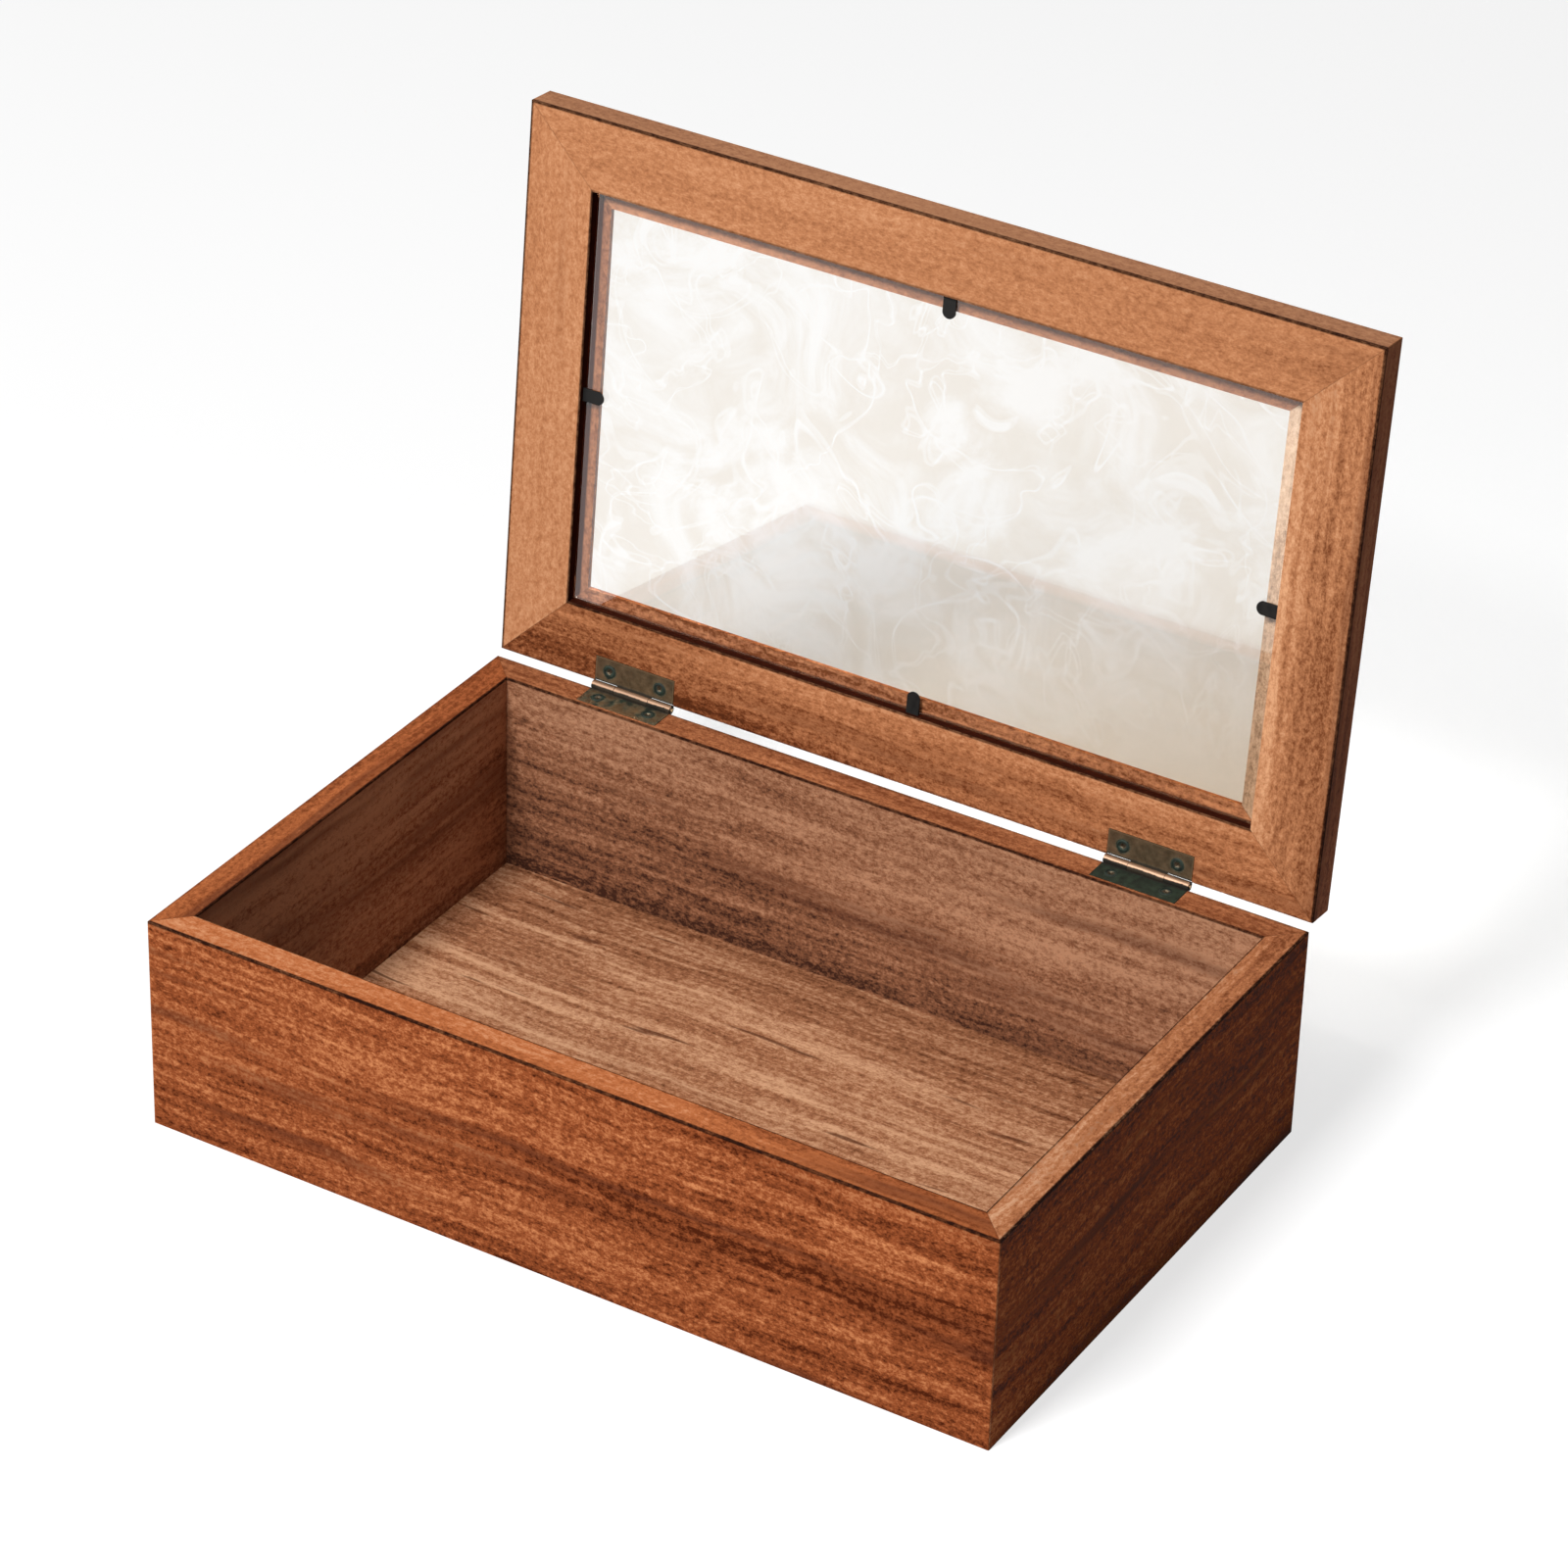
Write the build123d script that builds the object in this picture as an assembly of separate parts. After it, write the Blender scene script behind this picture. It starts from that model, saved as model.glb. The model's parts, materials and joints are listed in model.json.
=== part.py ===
from build123d import *
import os

# Keepsake box: mitred walls round a let-in floor, and a framed glass lid on two stop hinges.
# Millimetres and degrees. X runs along the front, Y to the back, Z up from the middle of the underside.
# The lid is drawn shut, where its sizes are easy to read, and is then swung open about the hinge pins.

# Box body
BOX_WIDTH = 280.0
BOX_DEPTH = 180.0
BODY_HEIGHT = 70.0
WALL_THICKNESS = 10.0
ARRIS = 0.4  # radius of the sanded edges

# Floor panel, let into a rebate under the walls and pinned from below
FLOOR_THICKNESS = 3.0
FLOOR_REBATE = 5.0  # how far the floor reaches under each wall
FLOOR_CLEARANCE = 0.2
LONG_SIDE_BRADS = 3
SHORT_SIDE_BRADS = 2
BRAD_WIDTH = 1.2  # flat wire
BRAD_THICKNESS = 1.0
BRAD_HEAD_WIDTH = 2.0
BRAD_HEAD_THICKNESS = 0.4
BRAD_LENGTH = 9.0
BRAD_SINK = 0.2  # how far a brad's head is set into the underside
BRAD_CLEARANCE = 0.05

# Loose tongues that key the mitred wall corners
TONGUE_THICKNESS = 2.0
TONGUE_WIDTH = 8.0
TONGUE_INSET = 6.0  # from the outer faces to the middle of a tongue
TONGUE_SETBACK = 8.0  # wood left above and below a tongue
TONGUE_CLEARANCE = 0.05

# Lid frame, rebated inside for the glass and bevelled outside at the sight edge
LID_THICKNESS = 10.0
FRAME_FACE = 23.0  # flat inner face of each member
GLASS_LEDGE = 5.0
REBATE_DEPTH = 4.0
SIGHT_EDGE = 1.5  # thickness left at the edge of the window
GLASS_THICKNESS = 2.0
GLASS_CLEARANCE = 0.5

# Biscuits that key the mitred lid corners
BISCUIT_LENGTH = 20.0
BISCUIT_WIDTH = 10.0
BISCUIT_THICKNESS = 2.0
BISCUIT_CLEARANCE = 0.1

# Glazing points: flat round-ended tabs driven into the rebate wall over the glass
POINT_WIDTH = 4.2
POINT_THICKNESS = 0.5
POINT_REACH = 7.2  # what shows past the rebate wall
POINT_DRIVEN = 5.0
POINT_TIP = 1.7  # length of the rounded end
POINT_CLEARANCE = 0.05
LONG_SIDE_POINT_SHIFT = 3.5  # the points were set by eye, a little off the middle of each side
SHORT_SIDE_POINT_SHIFT = 1.5

# Hinges: each leaf is a strip rolled round the pin, and a tail on the lid's knuckle stops it past upright
LID_ANGLE = 95.0
HINGE_INSET = 51.0  # from the end of the box to the middle of a hinge
HINGE_SHIFT = -2.5  # the pair was set a little to the left
HINGE_LENGTH = 28.0
LEAF_THICKNESS = 0.9
LEAF_INLAY = 0.8  # how deep a leaf is let into the wood
LEAF_MARGIN = 1.5  # rim left in front of a leaf
INLAY_CLEARANCE = 0.15
PIN_DIAMETER = 1.1
PIN_CLEARANCE = 0.05
PIN_SETBACK = 1.0  # from the back of the box to the pin's axis
PIN_STICKOUT = 0.3
LID_KNUCKLE = 12.0  # length of the knuckle on the lid's leaf, between the two on the box's leaf
KNUCKLE_GAP = 0.15
KNUCKLE_RELIEF = 0.05  # room in front of a knuckle in the other leaf
ROLL_TURN = 285.0  # how far round the pin the strip is rolled
TAIL_DROP = 4.0  # from the pin's axis to the end of the stop tail
STOP_CLEARANCE = 0.05

# Countersunk hinge screws
SCREW_SPACING = 18.0
SCREW_HEAD_DIAMETER = 4.2
SCREW_HEAD_DEPTH = 0.9  # of the countersink, as deep as a leaf is thick
SCREW_DIAMETER = 1.8
SCREW_LENGTH = 7.0
SCREW_POINT = 1.4
SCREW_CLEARANCE = 0.05
DRIVE_LENGTH = 2.4
DRIVE_WIDTH = 0.5
DRIVE_DEPTH = 0.6

# Worked out from the driving dimensions
BORE_RADIUS = PIN_DIAMETER / 2 + PIN_CLEARANCE
KNUCKLE_RADIUS = BORE_RADIUS + LEAF_THICKNESS
PIN_RISE = KNUCKLE_RADIUS - LEAF_INLAY  # from the rim up to the pin's axis
PIN_Y = BOX_DEPTH / 2 + PIN_SETBACK
PIN_Z = BODY_HEIGHT + PIN_RISE
PIN_AXIS = Axis((0, PIN_Y, PIN_Z), (1, 0, 0))
LID_BASE = PIN_Z + PIN_RISE  # inner face of the shut lid
LEAF_REACH = WALL_THICKNESS - LEAF_MARGIN  # from the back of the box to a leaf's front edge
LEAF_SPAN = PIN_SETBACK + LEAF_REACH
SCREW_LINE = PIN_SETBACK + LEAF_REACH / 2
FRAME_WIDTH = FRAME_FACE + GLASS_LEDGE
GLASS_BASE = LID_BASE + REBATE_DEPTH - GLASS_THICKNESS
SIDE_TURNS = {"front": 0, "right": 90, "back": 180, "left": 270}
CORNERS = {"front_left": (-1, -1), "front_right": (1, -1), "back_left": (-1, 1), "back_right": (1, 1)}
HINGE_PLACES = {
    "left": HINGE_SHIFT - BOX_WIDTH / 2 + HINGE_INSET,
    "right": HINGE_SHIFT + BOX_WIDTH / 2 - HINGE_INSET,
}


def is_long(side):
    """The front and back are the long sides."""
    return side in ("front", "back")


def side_length(side):
    return BOX_WIDTH if is_long(side) else BOX_DEPTH


def on_side(side, shape):
    """Move what was drawn along X, with its outer face at Y zero, to one side of the box."""
    offset = BOX_DEPTH / 2 if is_long(side) else BOX_WIDTH / 2
    return Rot(0, 0, SIDE_TURNS[side]) * Pos(0, -offset, 0) * shape


def slab(x_range, y_range, z_range):
    """A block between two values on each axis."""
    sizes = [high - low for low, high in (x_range, y_range, z_range)]
    middles = [(low + high) / 2 for low, high in (x_range, y_range, z_range)]
    return Pos(*middles) * Box(*sizes)


def upright_prism(plan, z_range):
    return Pos(0, 0, z_range[0]) * extrude(plan, z_range[1] - z_range[0])


def mitred_board(section, length, width, height):
    """Run a section along X and cut both ends at 45 degrees, with the outer tips rounded over."""
    bar = extrude(Plane.YZ * section, length / 2, both=True)
    half = length / 2
    left_tip = CenterArc((ARRIS - half, ARRIS), ARRIS, -135, 45)
    right_tip = CenterArc((half - ARRIS, ARRIS), ARRIS, -90, 45)
    inner_left = (width - half, width)
    inner_right = (half - width, width)
    edges = [
        left_tip,
        Line(left_tip @ 1, right_tip @ 0),
        right_tip,
        Polyline(right_tip @ 1, inner_right, inner_left, left_tip @ 0),
    ]
    return bar & extrude(make_face(edges), height)


def wall(side):
    inner_foot = WALL_THICKNESS - FLOOR_REBATE
    outline = Polyline(
        (0, 0),
        (inner_foot, 0),
        (inner_foot, FLOOR_THICKNESS),
        (WALL_THICKNESS, FLOOR_THICKNESS),
        (WALL_THICKNESS, BODY_HEIGHT),
        (0, BODY_HEIGHT),
        close=True,
    )
    section = make_face(outline)
    section = fillet(section.vertices().group_by(Axis.Y)[-1], ARRIS)
    return on_side(side, mitred_board(section, side_length(side), WALL_THICKNESS, BODY_HEIGHT))


def corner_tongue(corner, clearance=0.0):
    """An upright tongue set square across a mitre, or its slot when a clearance is given."""
    x_sign, y_sign = CORNERS[corner]
    tongue = Box(
        TONGUE_WIDTH + 2 * clearance,
        TONGUE_THICKNESS + 2 * clearance,
        BODY_HEIGHT - 2 * TONGUE_SETBACK + 2 * clearance,
    )
    middle_x = x_sign * (BOX_WIDTH / 2 - TONGUE_INSET)
    middle_y = y_sign * (BOX_DEPTH / 2 - TONGUE_INSET)
    return Pos(middle_x, middle_y, BODY_HEIGHT / 2) * Rot(0, 0, -45 * x_sign * y_sign) * tongue


def brad_places(side):
    """Evenly spaced places along the middle of the floor's rebate."""
    count = LONG_SIDE_BRADS if is_long(side) else SHORT_SIDE_BRADS
    pitch = side_length(side) / count
    inset = WALL_THICKNESS - FLOOR_REBATE / 2
    return [on_side(side, Pos((index - (count - 1) / 2) * pitch, inset, 0)) for index in range(count)]


def brad(clearance=0.0):
    """A flat-wire brad with a T head and a chisel tip, driven upwards along the rebate."""
    half = BRAD_WIDTH / 2 + clearance
    half_head = BRAD_HEAD_WIDTH / 2 + clearance
    shoulder = BRAD_SINK + BRAD_HEAD_THICKNESS
    tip = BRAD_SINK + BRAD_LENGTH + clearance
    chisel = tip - BRAD_WIDTH
    outline = Polyline(
        (-half_head, BRAD_SINK),
        (half_head, BRAD_SINK),
        (half_head, shoulder),
        (half, shoulder),
        (half, chisel),
        (0, tip),
        (-half, chisel),
        (-half, shoulder),
        (-half_head, shoulder),
        close=True,
    )
    return extrude(Plane.XZ * make_face(outline), BRAD_THICKNESS / 2 + clearance, both=True)


def brad_hole():
    """Room for a brad, open to the underside."""
    mouth = Box(BRAD_HEAD_WIDTH + 2 * BRAD_CLEARANCE, BRAD_THICKNESS + 2 * BRAD_CLEARANCE, 2 * BRAD_SINK)
    return brad(BRAD_CLEARANCE) + mouth


def floor_panel():
    overlap = WALL_THICKNESS - FLOOR_REBATE + FLOOR_CLEARANCE
    half_width = BOX_WIDTH / 2 - overlap
    half_depth = BOX_DEPTH / 2 - overlap
    return slab((-half_width, half_width), (-half_depth, half_depth), (0, FLOOR_THICKNESS))


def lid_member(side):
    """One side of the lid frame, lying shut: rebate underneath, bevelled sight edge on top."""
    ledge_top = REBATE_DEPTH + SIGHT_EDGE
    bevel = LID_THICKNESS - ledge_top
    outline = Polyline(
        (0, 0),
        (FRAME_FACE, 0),
        (FRAME_FACE, REBATE_DEPTH),
        (FRAME_WIDTH, REBATE_DEPTH),
        (FRAME_WIDTH, ledge_top),
        (FRAME_WIDTH - bevel, LID_THICKNESS),
        (0, LID_THICKNESS),
        close=True,
    )
    section = make_face(outline)
    section = fillet(section.vertices().group_by(Axis.X)[0], ARRIS)
    board = mitred_board(section, side_length(side), FRAME_WIDTH, LID_THICKNESS)
    return Pos(0, 0, LID_BASE) * on_side(side, board)


def biscuit(corner, clearance=0.0):
    """A flat lens-shaped key lying along a lid mitre, or its slot when a clearance is given."""
    x_sign, y_sign = CORNERS[corner]
    half_length = BISCUIT_LENGTH / 2 + clearance
    half_width = BISCUIT_WIDTH / 2 + clearance
    half_thickness = BISCUIT_THICKNESS / 2 + clearance
    edges = [ThreePointArc((-half_length, 0), (0, edge * half_width), (half_length, 0)) for edge in (-1, 1)]
    lens = extrude(make_face(edges), half_thickness, both=True)
    middle_x = x_sign * (BOX_WIDTH / 2 - FRAME_FACE / 2)
    middle_y = y_sign * (BOX_DEPTH / 2 - FRAME_FACE / 2)
    middle_z = LID_BASE + (REBATE_DEPTH + LID_THICKNESS) / 2
    return Pos(middle_x, middle_y, middle_z) * Rot(0, 0, 45 * x_sign * y_sign) * lens


def glass_pane():
    inset = FRAME_FACE + GLASS_CLEARANCE
    half_width = BOX_WIDTH / 2 - inset
    half_depth = BOX_DEPTH / 2 - inset
    heights = (GLASS_BASE, GLASS_BASE + GLASS_THICKNESS)
    return slab((-half_width, half_width), (-half_depth, half_depth), heights)


def point_shift(side):
    """Points on the long sides sit to the right, those on the short sides towards the front."""
    shift = LONG_SIDE_POINT_SHIFT if is_long(side) else SHORT_SIDE_POINT_SHIFT
    return shift if side in ("front", "left") else -shift


def glazing_point(side, clearance=0.0):
    """A flat tab lying on the glass with its root in the rebate wall, or the kerf for that root."""
    half = POINT_WIDTH / 2 + clearance
    root = FRAME_FACE - POINT_DRIVEN - clearance
    tip = FRAME_FACE + POINT_REACH
    shoulder = tip - POINT_TIP
    edges = [
        Polyline((-half, shoulder), (-half, root), (half, root), (half, shoulder)),
        ThreePointArc((half, shoulder), (0, tip), (-half, shoulder)),
    ]
    heights = (GLASS_BASE - POINT_THICKNESS - clearance, GLASS_BASE + clearance)
    return on_side(side, Pos(point_shift(side), 0, 0) * upright_prism(make_face(edges), heights))


def leaf_section():
    """A strip seen along the pin: flat below the pin, then rolled up round it."""
    outer = CenterArc((0, 0), KNUCKLE_RADIUS, -90, ROLL_TURN)
    inner = CenterArc((0, 0), BORE_RADIUS, -90, ROLL_TURN)
    edges = [
        Line((-LEAF_SPAN, -KNUCKLE_RADIUS), (0, -KNUCKLE_RADIUS)),
        outer,
        Line(outer @ 1, inner @ 1),
        inner,
        Line((0, -BORE_RADIUS), (-LEAF_SPAN, -BORE_RADIUS)),
        Line((-LEAF_SPAN, -BORE_RADIUS), (-LEAF_SPAN, -KNUCKLE_RADIUS)),
    ]
    return make_face(edges)


def countersunk_shank(clearance=0.0, point=0.0):
    """A screw's head and shank pointing down from Z zero; with a clearance, and no point, their hole."""
    head_radius = SCREW_HEAD_DIAMETER / 2
    radius = SCREW_DIAMETER / 2
    end = -SCREW_LENGTH - clearance
    outline = Polyline(
        (0, clearance),
        (head_radius + 2 * clearance, clearance),
        (radius + clearance, -SCREW_HEAD_DEPTH),
        (radius + clearance, end + point),
        (0, end),
        close=True,
    )
    return revolve(Plane.XZ * make_face(outline), Axis.Z)


def screw():
    """A pointed screw with a cross recess in its head."""
    slot = Box(DRIVE_LENGTH, DRIVE_WIDTH, 2 * DRIVE_DEPTH)
    return countersunk_shank(point=SCREW_POINT) - slot - Rot(0, 0, 90) * slot


def screw_hole():
    return countersunk_shank(clearance=SCREW_CLEARANCE)


def screw_places():
    """Both screws of a leaf, drawn about the pin, with their heads flush with the leaf."""
    return [Pos(sign * SCREW_SPACING / 2, -SCREW_LINE, -BORE_RADIUS) for sign in (-1, 1)]


def hinge_leaf(knuckle_spans):
    """A leaf drawn about the pin, lying flat below it, with knuckles over the given spans."""
    half = HINGE_LENGTH / 2
    strip_end = -KNUCKLE_RADIUS - KNUCKLE_RELIEF
    leaf = slab((-half, half), (-LEAF_SPAN, strip_end), (-KNUCKLE_RADIUS, -BORE_RADIUS))
    section = leaf_section()
    for low, high in knuckle_spans:
        leaf += Pos(low, 0, 0) * extrude(Plane.YZ * section, high - low)
    for place in screw_places():
        leaf -= place * screw_hole()
    return leaf


def hinge_recess():
    """The shallow housing for a leaf and the holes for its screws, drawn about the pin."""
    half = HINGE_LENGTH / 2 + INLAY_CLEARANCE
    recess = slab((-half, half), (-LEAF_SPAN - INLAY_CLEARANCE, 0), (-KNUCKLE_RADIUS, 0))
    for place in screw_places():
        recess += place * screw_hole()
    return recess


def body_leaf():
    inner = LID_KNUCKLE / 2 + KNUCKLE_GAP
    half = HINGE_LENGTH / 2
    return hinge_leaf([(-half, -inner), (inner, half)])


def stop_tail():
    """The tail below the open lid's knuckle, which comes up flat against the back of the box."""
    front = -PIN_SETBACK + STOP_CLEARANCE
    half = LID_KNUCKLE / 2
    root = -(BORE_RADIUS + KNUCKLE_RADIUS) / 2
    return slab((-half, half), (front, front + LEAF_THICKNESS), (-TAIL_DROP, root))


def shut_over(shape):
    """Turn what belongs to the box's leaf over about Y, into its twin for the shut lid."""
    return Rot(0, 180, 0) * shape


def opened(shape):
    """Swing a piece of the shut lid open about the pins."""
    return shape.rotate(PIN_AXIS, -LID_ANGLE)


def lid_leaf():
    """The lid's leaf about the pin, already open, so that its tail stands where it stops."""
    half = LID_KNUCKLE / 2
    leaf = shut_over(hinge_leaf([(-half, half)]))
    return leaf.rotate(Axis.X, -LID_ANGLE) + stop_tail()


def hinge_pin():
    return Rot(0, 90, 0) * Cylinder(PIN_DIAMETER / 2, HINGE_LENGTH + 2 * PIN_STICKOUT)


def at_hinge(name, shape):
    return Pos(HINGE_PLACES[name], PIN_Y, PIN_Z) * shape


def build_box():
    pieces = {}
    walls = {side: wall(side) for side in SIDE_TURNS}
    for corner in CORNERS:
        pieces[corner + "_tongue"] = corner_tongue(corner)
        slot = corner_tongue(corner, TONGUE_CLEARANCE)
        for side in corner.split("_"):
            walls[side] -= slot
    floor = floor_panel()
    brads = []
    for side in walls:
        for place in brad_places(side):
            floor -= place * brad_hole()
            walls[side] -= place * brad_hole()
            brads.append(place * brad())
    for name in HINGE_PLACES:
        walls["back"] -= at_hinge(name, hinge_recess())
        pieces[name + "_hinge_box_leaf"] = at_hinge(name, body_leaf())
        pieces[name + "_hinge_pin"] = at_hinge(name, hinge_pin())
        screws = [at_hinge(name, place * screw()) for place in screw_places()]
        pieces[name + "_hinge_box_screws"] = Compound(screws)
    for side, board in walls.items():
        pieces[side + "_wall"] = board
    pieces["floor_panel"] = floor
    pieces["floor_brads"] = Compound(brads)
    return pieces


def build_lid():
    pieces = {}
    members = {side: lid_member(side) for side in SIDE_TURNS}
    for corner in CORNERS:
        pieces[corner + "_biscuit"] = opened(biscuit(corner))
        slot = biscuit(corner, BISCUIT_CLEARANCE)
        for side in corner.split("_"):
            members[side] -= slot
    for side in members:
        members[side] -= glazing_point(side, POINT_CLEARANCE)
        pieces[side + "_glazing_point"] = opened(glazing_point(side))
    for name in HINGE_PLACES:
        members["back"] -= at_hinge(name, shut_over(hinge_recess()))
        pieces[name + "_hinge_lid_leaf"] = at_hinge(name, lid_leaf())
        screws = [shut_over(place * screw()) for place in screw_places()]
        pieces[name + "_hinge_lid_screws"] = opened(Compound([at_hinge(name, item) for item in screws]))
    for side, member in members.items():
        kind = "_rail" if is_long(side) else "_stile"
        pieces["lid_" + side + kind] = opened(member)
    pieces["glass_pane"] = opened(glass_pane())
    return pieces


os.makedirs("parts", exist_ok=True)
for node, shape in {**build_box(), **build_lid()}.items():
    export_step(shape, "parts/" + node + ".step")
    print(node, len(shape.solids()), "solid(s)", round(shape.volume, 1), "mm3")
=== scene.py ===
# %% [markdown]
# # A wooden keepsake box with a glass lid
# The box comes from CAD as separate boards, hinges and fasteners, all in metres and in one frame: X runs
# along the front, Y to the back and Z up from the middle of the underside. This lesson keeps those
# shapes, gives each one its finish, and models again by hand the few pieces that deserve softer edges.
# First the imported pieces are loaded.

# %% Load the imported box
import json
import math
import bmesh
import bpy
from mathutils import Matrix, Vector


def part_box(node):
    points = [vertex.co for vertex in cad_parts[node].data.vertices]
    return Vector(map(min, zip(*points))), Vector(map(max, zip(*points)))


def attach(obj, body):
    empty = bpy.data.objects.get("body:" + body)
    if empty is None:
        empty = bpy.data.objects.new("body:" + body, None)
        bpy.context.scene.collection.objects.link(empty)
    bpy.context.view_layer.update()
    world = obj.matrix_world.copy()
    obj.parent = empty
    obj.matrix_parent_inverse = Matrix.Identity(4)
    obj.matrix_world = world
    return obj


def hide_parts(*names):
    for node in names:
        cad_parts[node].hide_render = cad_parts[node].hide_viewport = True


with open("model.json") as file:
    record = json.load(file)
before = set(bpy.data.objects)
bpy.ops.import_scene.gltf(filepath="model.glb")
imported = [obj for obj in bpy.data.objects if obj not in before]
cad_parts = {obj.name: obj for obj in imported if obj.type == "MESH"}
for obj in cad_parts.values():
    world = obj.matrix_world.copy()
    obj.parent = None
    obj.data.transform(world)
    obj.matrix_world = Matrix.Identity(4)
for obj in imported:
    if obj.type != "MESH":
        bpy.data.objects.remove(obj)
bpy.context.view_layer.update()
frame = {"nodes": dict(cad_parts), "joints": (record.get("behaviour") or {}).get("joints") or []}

nodes = frame["nodes"]

# %% [markdown]
# ## Measures of the box
# Patterns have to know where the rim, the well and the hinge pins are. Typing those sizes again would let
# them drift away from the model, so they are read from the loaded pieces and from the hinge's joint. Only
# the lid's own sizes are typed, because the lid stands open and its box says little about them.

# %% Measures of the body and lid
MM = 0.001
LID_ANGLE = math.radians(95)
LID_THICKNESS = 10 * MM
LID_FACE = 23 * MM
LID_REBATE = 4 * MM
LIP = LID_THICKNESS - LID_REBATE
pin = Vector(frame["joints"][0]["pos_m"])
front_low, front_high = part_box("front_wall")
wall = front_high.y - front_low.y
half_width = front_high.x
rim = front_high.z
half_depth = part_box("right_wall")[1].y
floor_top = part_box("floor_panel")[1].z
lid_outside = 2 * pin.z - rim + LID_THICKNESS
body_size = [round(size, 4) for size in (2 * half_width, 2 * half_depth, rim)]
print("body", body_size, "m, walls", round(wall, 4), "m, lid shut at", round(lid_outside, 4), "m")

# %% Measures of the hinges
hinge_middles = {}
for side in ("left", "right"):
    pin_low, pin_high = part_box(side + "_hinge_pin")
    hinge_middles[side] = (pin_low.x + pin_high.x) / 2
leaf_low, leaf_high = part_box("left_hinge_box_leaf")
leaf_half = (leaf_high.x - leaf_low.x) / 2
leaf_span = pin.y - leaf_low.y
knuckle = leaf_high.y - pin.y
screws_low, screws_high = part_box("left_hinge_box_screws")
head = screws_high.y - screws_low.y
screw_length = screws_high.z - screws_low.z
screw_step = (screws_high.x - screws_low.x - head) / 2
screw_reach = pin.y - (screws_high.y + screws_low.y) / 2
print("hinges at", hinge_middles, "with", round(head / MM, 2), "mm screw heads")

# %% [markdown]
# ## Camera
# The picture was taken with a long lens from the front right, a little above, and slightly rolled. The
# place and the angles here come from matching the corners of the box and its lid in a square picture.

# %% Camera
CAMERA_PLACE = (0.7208, -1.2000, 0.9847)
CAMERA_ANGLES = (58.237, -1.521, 31.355)
SENSOR_MM = 36
LENS_MM = 134.08
camera_data = bpy.data.cameras.new("photo_camera")
camera_data.sensor_width = SENSOR_MM
camera_data.lens = LENS_MM
camera = bpy.data.objects.new("photo_camera", camera_data)
camera.location = CAMERA_PLACE
camera.rotation_euler = [math.radians(angle) for angle in CAMERA_ANGLES]
bpy.context.collection.objects.link(camera)
bpy.context.scene.camera = camera
print("camera", round(camera.location.length, 3), "m away with a", LENS_MM, "mm lens")

# %% [markdown]
# ## Helpers for node trees
# A material is a tree of nodes. Adding a node, setting its values and drawing its links takes three
# steps each time, so one helper does all three: an input that is given a socket is linked, and any other
# value is typed in. The smaller helpers are the sums and noises that the finishes below are made of.

# %% Node helpers
def fill_inputs(tree, made, inputs):
    """Link an input that is given a socket, and type any other value in."""
    for name, value in inputs.items():
        if isinstance(value, bpy.types.NodeSocket):
            tree.links.new(value, made.inputs[name])
        else:
            made.inputs[name].default_value = value


def add(tree, kind, inputs=None, **settings):
    """Add a node, set it up, and link or fill in its inputs."""
    made = tree.nodes.new("ShaderNode" + kind)
    for name, value in settings.items():
        setattr(made, name, value)
    fill_inputs(tree, made, inputs or {})
    return made


def here(tree):
    """A point's place in the shared frame."""
    return add(tree, "TexCoord").outputs["Object"]


def split(tree, vector):
    """The X, Y and Z of a vector."""
    return add(tree, "SeparateXYZ", {0: vector}).outputs


def sum_of(tree, operation, *values):
    """A Math node's answer."""
    return add(tree, "Math", dict(enumerate(values)), operation=operation).outputs[0]


def times(tree, first, second):
    """One value times another."""
    return sum_of(tree, "MULTIPLY", first, second)


def larger(tree, first, second):
    """The larger of two values."""
    return sum_of(tree, "MAXIMUM", first, second)


def vector_sum(tree, operation, *values):
    """A Vector Math node's answer."""
    return add(tree, "VectorMath", dict(enumerate(values)), operation=operation).outputs[0]


def reach(tree, place, direction):
    """How far a place lies along a direction."""
    return add(tree, "VectorMath", {0: place, 1: direction}, operation="DOT_PRODUCT").outputs["Value"]


def fade(tree, value, low, high, start=0.0, end=1.0):
    """A soft step from start to end while the value goes from low to high."""
    inputs = {"Value": value, "From Min": low, "From Max": high, "To Min": start, "To Max": end}
    return add(tree, "MapRange", inputs, interpolation_type="SMOOTHSTEP").outputs[0]


def fade_out(tree, value, low, high):
    """A soft step from one down to zero while the value goes from low to high."""
    return fade(tree, value, low, high, 1.0, 0.0)


# %% Noise and colour helpers
def even(count):
    """The same count of noise cells per metre on each axis."""
    return (count, count, count)


def noise(tree, vector, stretch, detail=2.0, roughness=0.5, swirl=0.0):
    """Noise with its own count of cells per metre on each axis, twisted into swirls if asked."""
    scaled = vector_sum(tree, "MULTIPLY", vector, stretch)
    inputs = {"Vector": scaled, "Scale": 1.0, "Detail": detail, "Roughness": roughness, "Distortion": swirl}
    return add(tree, "TexNoise", inputs).outputs[0]


def about_middle(tree, layer):
    """A noise moved down by a half, so that it swings about zero."""
    return sum_of(tree, "SUBTRACT", layer, 0.5)


def colour(red, green, blue):
    """A colour with nothing see-through about it."""
    return (red, green, blue, 1.0)


def blend(tree, factor, first, second):
    """Two colours mixed by a factor."""
    return add(tree, "Mix", {0: factor, 6: first, 7: second}, data_type="RGBA").outputs[2]


def tone_ramp(tree, value, stops):
    """A colour ramp with the given places and colours."""
    ramp = add(tree, "ValToRGB", {0: value})
    elements = ramp.color_ramp.elements
    elements[0].position, elements[0].color = stops[0]
    elements[1].position, elements[1].color = stops[-1]
    for position, shade in stops[1:-1]:
        elements.new(position).color = shade
    return ramp.outputs[0]


# %% Group and material helpers
BUMP_STRENGTH = 0.3


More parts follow.
